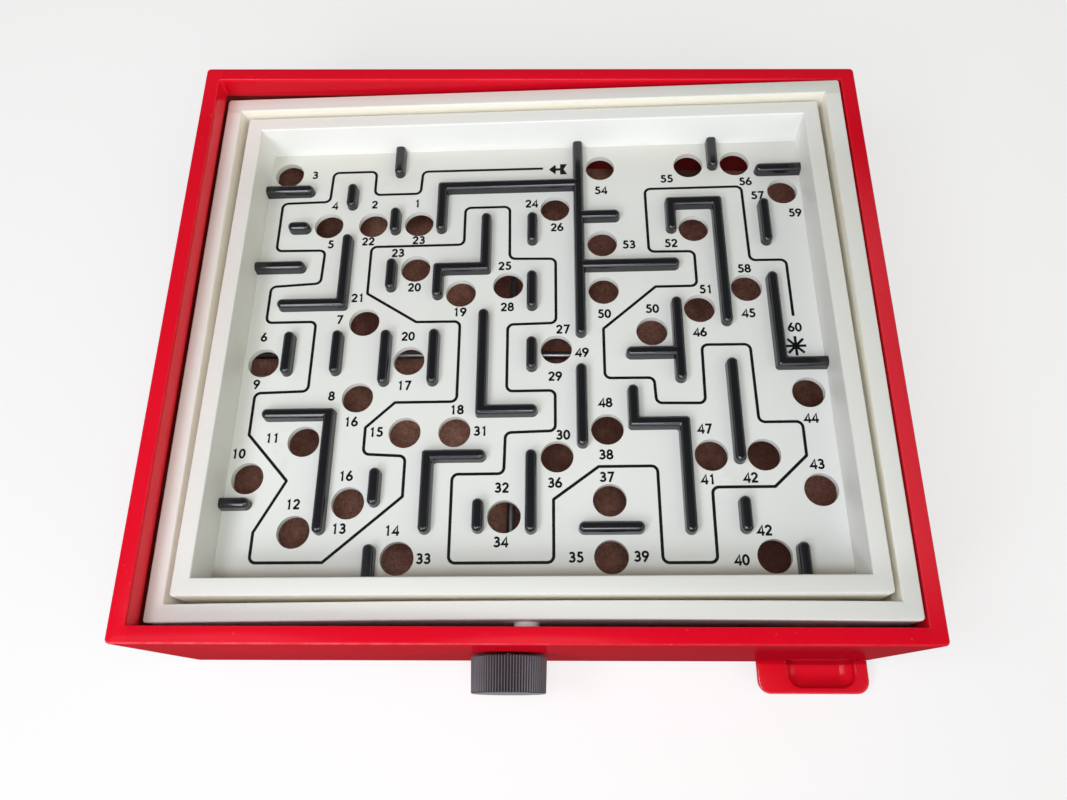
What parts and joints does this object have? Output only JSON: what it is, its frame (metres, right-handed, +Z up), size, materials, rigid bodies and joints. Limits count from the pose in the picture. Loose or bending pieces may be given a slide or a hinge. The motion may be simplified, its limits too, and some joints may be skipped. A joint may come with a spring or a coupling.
{
  "type": "tilting marble maze",
  "caption": "Tilting marble maze: red box with two nested white frames, holed maze board with black ridges, ribbed knobs on cord-wound shafts, sloped floor and ball tray.",
  "frame": {"origin": "middle of the box's foot, on the surface that the box stands on", "axes": "+X to the right of the player, along the box's width, +Y to the back, +Z up"},
  "size_m": [0.3408, 0.2959, 0.0964],
  "materials": {
    "red_plastic": "gloss",
    "white_plastic": "satin",
    "black_plastic": "gloss",
    "knob_plastic": "satin",
    "hardboard": "matt",
    "steel": "bright",
    "string": "matt"
  },
  "bodies": {
    "base": {"box_shell": "red_plastic", "sloped_floor": "hardboard", "ball_tray": "red_plastic"},
    "roll_frame": {"outer_frame": "white_plastic", "outer_pivot_front": "white_plastic", "outer_pivot_rear": "white_plastic", "front_cord": "string", "front_spring": "steel"},
    "pitch_frame": {"inner_frame": "white_plastic", "inner_pivot_left": "white_plastic", "inner_pivot_right": "white_plastic", "maze_board": "white_plastic", "ridge_bars": "black_plastic", "ridge_stubs": "black_plastic", "ridge_corner_back_left": "black_plastic", "ridge_corner_front_left": "black_plastic", "ridge_corner_front": "black_plastic", "ridge_corner_middle": "black_plastic", "ridge_corner_right": "black_plastic", "ridge_step_left": "black_plastic", "ridge_step_right": "black_plastic", "ridge_hook": "black_plastic", "ridge_tee": "black_plastic", "ridge_start": "black_plastic", "side_cord": "string", "side_spring": "steel"},
    "front_control": {"front_knob": "knob_plastic", "front_shaft": "steel", "front_clip": "steel"},
    "side_control": {"side_knob": "knob_plastic", "side_shaft": "steel", "side_clip": "steel"}
  },
  "joints": [
    {"name": "roll_tilt", "type": "hinge", "parent": "base", "child": "roll_frame", "pos_m": [0, 0, 0.074], "axis": [0, 1, 0], "range_deg": [-1.8, 7.2], "deforming": ["front_cord", "front_spring"]},
    {"name": "pitch_tilt", "type": "hinge", "parent": "roll_frame", "child": "pitch_frame", "pos_m": [0, 0, 0.074], "axis": [0.9989, 0, 0.0471], "range_deg": [-3, 6], "deforming": ["side_cord", "side_spring"]},
    {"name": "front_turn", "type": "hinge", "parent": "base", "child": "front_control", "pos_m": [-0.008, 0, 0.045], "axis": [0, 1, 0], "range_deg": [-73, 20]},
    {"name": "side_turn", "type": "hinge", "parent": "base", "child": "side_control", "pos_m": [0, 0.007, 0.036], "axis": [1, 0, 0], "range_deg": [-82, 42]}
  ],
  "couplings": [
    {"joint": "front_turn", "follows": "roll_tilt", "ratio": -9.79},
    {"joint": "side_turn", "follows": "pitch_tilt", "ratio": -13.17}
  ]
}
